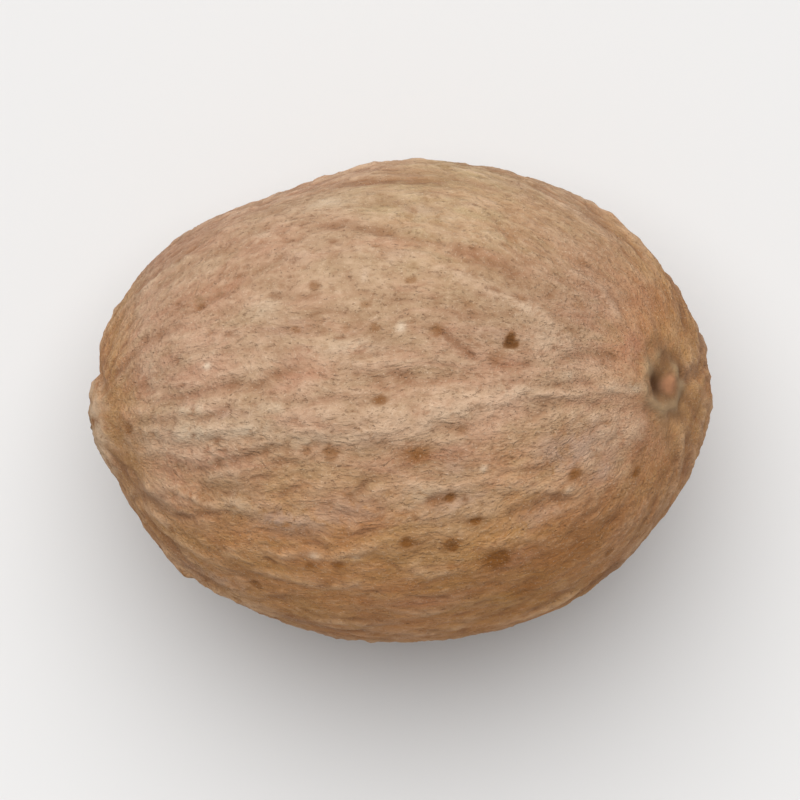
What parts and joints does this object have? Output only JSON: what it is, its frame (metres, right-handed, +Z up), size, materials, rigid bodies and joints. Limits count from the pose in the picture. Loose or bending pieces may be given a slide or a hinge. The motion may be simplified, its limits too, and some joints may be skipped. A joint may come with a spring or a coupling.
{
  "type": "whole nutmeg",
  "caption": "Whole dried nutmeg kernel: an egg-shaped seed lying on its side, with a low hilum knob, a raphe ridge along the top and a small chalaza pit.",
  "frame": {"origin": "under the middle of the kernel, on the small flat of the belly that it rests on", "axes": "+X along the kernel, towards the chalaza pit; -X towards the hilum knob; +Z up, the side that carries the raphe"},
  "size_m": [0.0296, 0.023, 0.022],
  "materials": {
    "skin": "matte dry woody kernel, greyish tan with a dusty bloom and red-brown furrows"
  },
  "bodies": {
    "root": {"nutmeg": "skin"}
  },
  "joints": []
}
